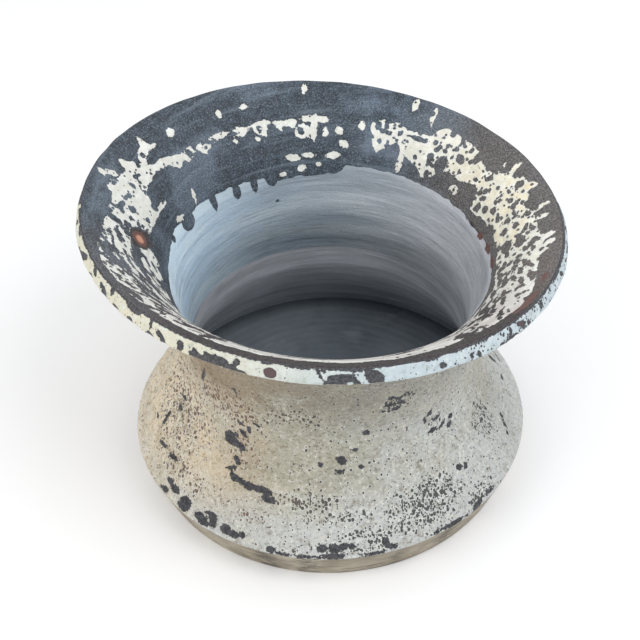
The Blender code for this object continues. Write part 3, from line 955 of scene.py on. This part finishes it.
def mouth_fields(mesh, along, inside):
    """Stores where the flare's coats of paint lie, and gives the relief of its throwing. along is in
    millimetres from the lip's edge."""
    azimuth, radius, _ = places(mesh)
    ragged = 0.8 * wander(azimuth, along, 9.0, 2.0) + 0.7 * wander(azimuth, along, 4.0, 6.0)
    cream = np.maximum(between(azimuth, along, LACE_BAND), between(azimuth, along, DASH_BAND)) - 0.5 + ragged
    cream = np.maximum(cream, marks(azimuth, along, radius, CREAM_DABS) + 0.3 + 0.5 * ragged)
    holes = marks(azimuth, along, radius, CREAM_HOLES + tuple(small_holes()) + DARK_SPOTS)
    cream = np.minimum(cream, -holes - 0.2 + 0.4 * ragged)
    wash = along - round_pot(azimuth, WASH_EDGE)
    wash = np.minimum(wash + 0.8 * ragged, -marks(azimuth, along, radius, COAT_DRIPS))
    clay = marks(azimuth, along, radius, CLAY_SPOTS)
    dark = ramp(marks(azimuth, along, radius, DARK_SPOTS), -0.5, 0.5)
    keep_values(
        mesh,
        cream=np.where(inside, np.minimum(cream, 2.0 - wash * 0.5), FAR_OUTSIDE),
        wash=np.where(inside, wash, FAR_OUTSIDE),
        clay=np.where(inside, clay, FAR_OUTSIDE),
        brown=np.maximum(round_pot(azimuth, BROWNED), dark),
        scuffed=np.maximum(round_pot(azimuth, SCUFFED), dark),
        yellow=0.8 * bell(azimuth, 14.0, 30.0) + 0.08,
        lace=round_pot(azimuth, LACE_AMOUNT),
        haze=sum(patches(azimuth, along, (patch,)) for patch in HAZE_PATCHES),
        # Painted light: the brighter blue wash goes on the left of the inside, which faces the light.
        cool=facing(azimuth, 175.0) ** 1.3,
        # The wash darkens round the back of the throat, and with painted shade deeper down towards the
        # waist.
        dirt=0.42 * bell(azimuth, 98.0, 46.0) + 0.3 * ramp(along, 96.0, 122.0),
    )
    return wander(azimuth, along, 22.0, 4.0, 2.0) * 0.0005 + wander(azimuth, along, 5.0, 9.0, 8.0) * 0.00018


travel, finish = outline_values(flared_mouth.data)
inside, outside = finish == INSIDE, finish == PAINTED
flare_length = LIP_WIDTH / MM + travel[inside].max()
along = np.where(inside, flare_length - travel, 0.0)
under_length = travel[outside].max()
up = np.where(outside, outer_length + under_length - travel, 0.0)
under_relief = wall_fields(flared_mouth.data, up, outside)
under_relief *= ramp(travel, 0.0, SEAM_EASE) * ramp(under_length - travel, 0.0, SEAM_EASE)
upper_relief = mouth_fields(flared_mouth.data, along, inside)
upper_relief *= ramp(flare_length - along, 0.0, SEAM_EASE) * ramp(along - LIP_WIDTH / MM, 0.0, SEAM_EASE)
swell(flared_mouth.data, np.where(inside, upper_relief, 0.0) + np.where(outside, under_relief, 0.0))
lean_over(flared_mouth.data)
finish_faces(flared_mouth, [make_charcoal_coat(), CREAM_WALL, BARE_CLAY])
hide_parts("flared_mouth")
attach(flared_mouth, "root")


# Lip coil
# A coil laid round the sheared edge of the mouth and worked down to a narrow band that slopes outwards.
# Its pale paint is chipped to the dark coat along both edges.

LIP_DEPTH = 0.0111
LIP_TOP_ROUND = 0.0018
LIP_FACE_ROUND = 0.003
LIP_STEPS = 700
CHIP_DEPTH = 0.0005
BAND_RELIEF = 0.0003
BAND_EASE = 3.0

# Chips in the lip's paint, spots of paint left in them, and maroon scabs: degrees round, millimetres down
# from the crest, length, width, turn
LIP_CHIPS = (
    (241.4, 9.4, 9, 6), (244.6, 8.6, 9, 8), (247.2, 8, 9, 9), (249.6, 9.4, 7, 6), (251.6, 10.8, 6, 4),
    (241, 7, 3, 5), (243.6, 6, 2, 5), (245.6, 5, 2, 4), (231.8, 5.8, 3.6, 3.6), (233, 9, 7, 3, 60),
    (229.4, 10, 6, 3.4), (237.7, 6.2, 4, 4.4), (237.2, 9.8, 3.4, 8, 12), (223.2, 9.4, 4, 3.4),
    (213, 8.6, 9, 6, 50), (211.6, 6, 4, 4), (223.8, 0.8, 12, 5), (229.4, 2, 2, 6), (207.6, 2.2, 8, 4, 50),
    (200, 6.4, 14, 4, -28), (188, 5, 8, 3, -35), (193, 2.6, 7, 4), (206, 9.6, 6, 3), (197, 9, 7, 2.6),
    (181, 7.6, 8, 3, 10), (216, 2, 4, 5), (218, 9.6, 5, 2), (250.6, 4, 3.2, 4, 20),
    (268.6, 1.6, 3.4, 2, 20), (267.6, 3.4, 6, 1.8, 60), (270.3, 5.8, 5, 3.6), (272.6, 6.6, 16, 7),
    (270.4, 10, 9, 5.4), (275.2, 9.8, 9, 5.4), (273, 11.2, 12, 2), (279, 6.6, 10, 9.4),
    (277.4, 3, 4, 3.4, 60), (279.4, 10, 8, 4.6), (294, 6.6, 4, 3.6, 60), (301, 7.5, 1.8, 3),
    (303, 8.2, 2, 4), (309.5, 9.6, 3, 2.6), (312.6, 2.8, 2, 4), (310.4, 3.4, 1.6, 2.4), (312, 8.4, 2, 3.6),
    (314, 9.6, 5, 2.4, 20), (318.8, 7.8, 2.4, 3.6), (316.6, 7.8, 3.4, 2.4), (316.2, 4.4, 6, 3.6, 30),
    (324.8, 4.4, 3, 5, 30), (328.4, 9.6, 3, 2), (330, 2.4, 1.8, 3.2), (335.6, 0.8, 16, 3),
    (347, 0.8, 24, 3), (263, 0, 13, 2.6), (257, 0, 8, 3), (273.5, 0, 24, 3), (292, 0, 10, 3),
    (338, 6, 5, 3, 40), (344, 8, 6, 2, 30), (350, 5, 3, 3), (356, 7, 5, 3, 20),
)
LIP_ISLANDS = (
    (273.9, 9.9, 5, 3), (276.4, 6, 2.4, 11, 12), (247.4, 10, 2, 1.6),
)
MAROON_SCABS = (
    (257.7, 6.2, 8, 6.8), (316.4, 4.6, 4, 3),
)

# Where the crest is worn bare: degrees round, and upper and lower edge in millimetres down from the crest
BARE_CREST = (
    (185, -4, 0.6), (200, -4, 0.4), (230, -6, 0.2), (300, -6, 0.2), (340, -6, 0.6), (352, -6, 2.2),
    (360, -6, 3.4), (540, -6, 3.4), (544, -6, 0.6),
)


def make_lip_paint():
    """The lip's paint: cream at the left, grey-white at the right, chipped and pitted to the dark coat."""
    material, tree, shader = new_material("chipped_lip_paint")
    mottle = object_noise(tree, 180.0, 4.0, 0.68)
    flecks = object_noise(tree, 600.0, 3.0, 0.7)
    base = lay(tree, shades(tree, field(tree, "warm"), 0.3, 0.7, (144, 154, 148), (206, 202, 182)), (
        (field(tree, "pale"), 0.3, 0.8, 1.0, (184, 196, 201)),
        (mottle, 0.5, 0.68, 0.7, (208, 216, 212)),
        (mottle, 0.46, 0.3, 0.55, (150, 160, 150)),
        (flecks, 0.42, 0.32, 0.6, (130, 136, 132)),
    ))
    pits, _ = popped_off(tree, field(tree, "pitting"), 620.0, (1, 1, 0.7))
    bare = maths(tree, "MAXIMUM", flaked(tree, "chips", 2.8, 480.0), pits)
    base = blend(tree, bare, base, shades(tree, flecks, 0.42, 0.62, (50, 50, 53), (82, 82, 86)))
    scab = flaked(tree, "maroon", 1.6, 420.0)
    base = blend(tree, scab, base, colour(84, 66, 68))
    paint = maths(tree, "SUBTRACT", 1.0, maths(tree, "MAXIMUM", bare, scab))
    finish_material(tree, shader, base, 0.66, [(paint, 0.0006), (mottle, 0.0005), (flecks, 0.0002)])
    return material


lip_edge, lip_wide = flare_curve(0.0), Vector((RIM_RADIUS, RIM_HEIGHT - LIP_DEPTH))
lip_top = list(reversed(line_beside(flare_curve, 0.0, mouth_start)))
band = arc_points(lip_top[0], lip_edge, lip_wide, LIP_TOP_ROUND)
band += arc_points(lip_edge, lip_wide, under[0], LIP_FACE_ROUND, 9)
lip_coil = turned("lip_band", [
    (BARE, 0.004, [under[0], upper[0]]),
    (INSIDE, 0.0011, [lip_top[0], band[0]]),
    (PAINTED, 0.0008, band + [under[0]]),
], LIP_STEPS)
azimuth, radius, _ = places(lip_coil.data)
travel, finish = outline_values(lip_coil.data)
on_band = finish == PAINTED
crest = (Vector(band[0]) - lip_edge).length / MM
down = np.where(on_band, travel - crest, 0.0)
chips = np.maximum(marks(azimuth, down, radius, with_back(LIP_CHIPS)), between(azimuth, down, BARE_CREST))
chips += 0.35 + 0.5 * wander(azimuth, down, 5.0, 1.0)
chips = np.minimum(chips, -marks(azimuth, down, radius, with_back(LIP_ISLANDS)))
mouth_fields(lip_coil.data, LIP_WIDTH / MM - travel, finish == INSIDE)
keep_values(
    lip_coil.data,
    chips=np.where(on_band, chips, FAR_OUTSIDE),
    maroon=marks(azimuth, down, radius, MAROON_SCABS),
    pitting=0.32 + 0.5 * bell(azimuth, 318.0, 22.0),
    warm=facing(azimuth, 190.0),
    pale=facing(azimuth, 345.0),
)
band_relief = wander(azimuth, down, 7.0, 3.0, 1.5) * BAND_RELIEF - ramp(chips, -0.4, 0.4) * CHIP_DEPTH
band_relief *= ramp(travel[on_band].max() - travel, 0.0, BAND_EASE)
swell(lip_coil.data, np.where(on_band, band_relief, 0.0))
lean_over(lip_coil.data)
finish_faces(lip_coil, [bpy.data.materials["charcoal_and_cream"], make_lip_paint(), BARE_CLAY])
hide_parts("lip_coil")
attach(lip_coil, "root")


# Studio
# A plain pale floor, soft light from above and the right with a warm fill from the left, and the camera
# looking down from about 0.7 metres up.

CAMERA_AIM = Vector((-0.005, 0.0, 0.1168))
CAMERA_DISTANCE = 0.9022
CAMERA_ELEVATION = math.radians(41.14)
CAMERA_ROLL = math.radians(-2.05)
CAMERA_LENS = 70.3
CAMERA_SENSOR = 36.0
FLOOR_SIZE = 12.0
FLOOR_COLOUR, FLOOR_ROUGHNESS = (250, 250, 250), 0.9
SKY_COLOUR, SKY_STRENGTH = (250, 252, 255), 0.9
LIGHTS_AIM = Vector((0, 0, 0.1))


def make_camera():
    data = bpy.data.cameras.new("camera")
    data.lens = CAMERA_LENS
    data.sensor_width = CAMERA_SENSOR
    data.clip_start = 0.01
    camera = bpy.data.objects.new("camera", data)
    bpy.context.scene.collection.objects.link(camera)
    back = Vector((0.0, -math.cos(CAMERA_ELEVATION), math.sin(CAMERA_ELEVATION)))
    right = Vector((1.0, 0.0, 0.0))
    up = back.cross(right)
    turned_right = math.cos(CAMERA_ROLL) * right + math.sin(CAMERA_ROLL) * up
    turned_up = back.cross(turned_right)
    placed = Matrix((turned_right, turned_up, back)).transposed().to_4x4()
    placed.translation = CAMERA_AIM + CAMERA_DISTANCE * back
    camera.matrix_world = placed
    bpy.context.scene.camera = camera


def make_floor():
    shape = bmesh.new()
    bmesh.ops.create_grid(shape, x_segments=1, y_segments=1, size=FLOOR_SIZE / 2)
    mesh = bpy.data.meshes.new("studio_floor")
    shape.to_mesh(mesh)
    shape.free()
    floor = bpy.data.objects.new("studio_floor", mesh)
    bpy.context.scene.collection.objects.link(floor)
    material, tree, shader = new_material("pale_floor")
    feed(tree, shader.inputs["Base Color"], colour(*FLOOR_COLOUR))
    feed(tree, shader.inputs["Roughness"], FLOOR_ROUGHNESS)
    mesh.materials.append(material)


def add_area_light(name, place, size, power, tint):
    data = bpy.data.lights.new(name, "AREA")
    data.shape = "DISK"
    data.size = size
    data.energy = power
    data.color = tint
    light = bpy.data.objects.new(name, data)
    bpy.context.scene.collection.objects.link(light)
    light.location = place
    light.rotation_euler = (LIGHTS_AIM - Vector(place)).to_track_quat("-Z", "Y").to_euler()


def make_sky():
    world = bpy.data.worlds.new("studio_sky")
    world.use_nodes = True
    background = world.node_tree.nodes["Background"]
    background.inputs["Color"].default_value = colour(*SKY_COLOUR)
    background.inputs["Strength"].default_value = SKY_STRENGTH
    bpy.context.scene.world = world


make_camera()
make_floor()
make_sky()
add_area_light("soft_key", (0.9, -0.7, 1.6), 1.2, 12.0, (0.97, 0.98, 1.0))
add_area_light("warm_fill", (-1.4, -0.9, 0.9), 1.4, 9.0, (1.0, 0.95, 0.88))
bpy.context.scene.view_settings.view_transform = "Standard"
